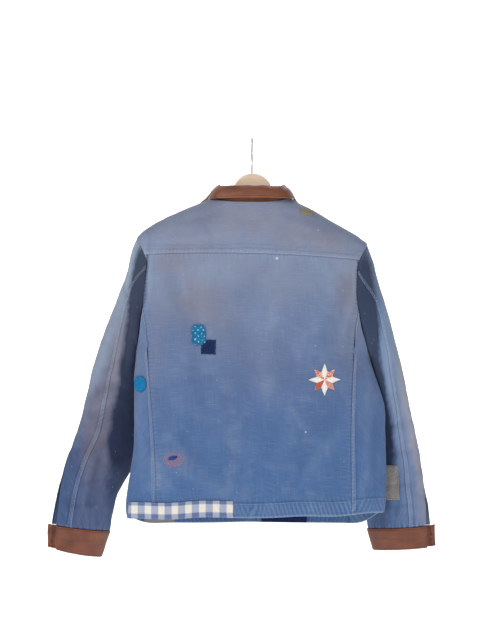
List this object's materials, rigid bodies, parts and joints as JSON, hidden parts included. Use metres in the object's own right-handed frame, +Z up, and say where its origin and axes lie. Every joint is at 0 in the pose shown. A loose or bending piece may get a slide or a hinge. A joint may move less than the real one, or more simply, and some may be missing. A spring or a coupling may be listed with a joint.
{
  "type": "patched work jacket on a wooden hanger",
  "caption": "Faded blue cotton work jacket with mending patches, leather collar and cuffs, buttoned front and hem band, hung on a pale wooden hanger with a steel hook.",
  "frame": {"origin": "inner top of the hanger's hook, where it hangs on a rail", "axes": "+Z up, the jacket's back faces -Y and its front +Y, +X is the wearer's right"},
  "size_m": [0.7909, 0.1593, 0.8508],
  "materials": {
    "blue_cotton": "faded blue cotton, worn and dusty",
    "brown_leather": "worn brown leather",
    "dotted_cotton": "teal cotton with small white dots",
    "teal_cotton": "plain teal cotton",
    "navy_cotton": "dark navy cotton",
    "quilt_star": "white and red quilt diamonds",
    "grey_canvas": "grey-beige canvas",
    "mustard_cotton": "faded mustard cotton",
    "gingham": "blue and white gingham",
    "button": "dark horn-like resin",
    "pale_wood": "pale varnished wood",
    "steel": "plain steel wire"
  },
  "bodies": {
    "root": {"yoke": "blue_cotton", "back_panel": "blue_cotton", "side_panel_l": "blue_cotton", "side_panel_r": "blue_cotton", "front_l": "blue_cotton", "front_r": "blue_cotton", "sleeve_l_upper": "blue_cotton", "sleeve_l_under": "blue_cotton", "sleeve_r_upper": "blue_cotton", "sleeve_r_under": "blue_cotton", "collar_stand": "brown_leather", "collar_fall": "brown_leather", "cuff_l": "brown_leather", "cuff_r": "brown_leather", "patch_dotted": "dotted_cotton", "patch_round": "teal_cotton", "patch_navy": "navy_cotton", "patch_front_navy": "navy_cotton", "patch_star": "quilt_star", "patch_sleeve": "grey_canvas", "patch_mustard": "mustard_cotton", "patch_front_tan": "grey_canvas", "patch_gingham": "gingham", "button_1": "button", "button_2": "button", "button_3": "button", "button_4": "button", "button_5": "button", "button_cuff_l": "button", "button_cuff_r": "button", "hanger_board": "pale_wood", "hanger_hook": "steel"}
  },
  "joints": []
}
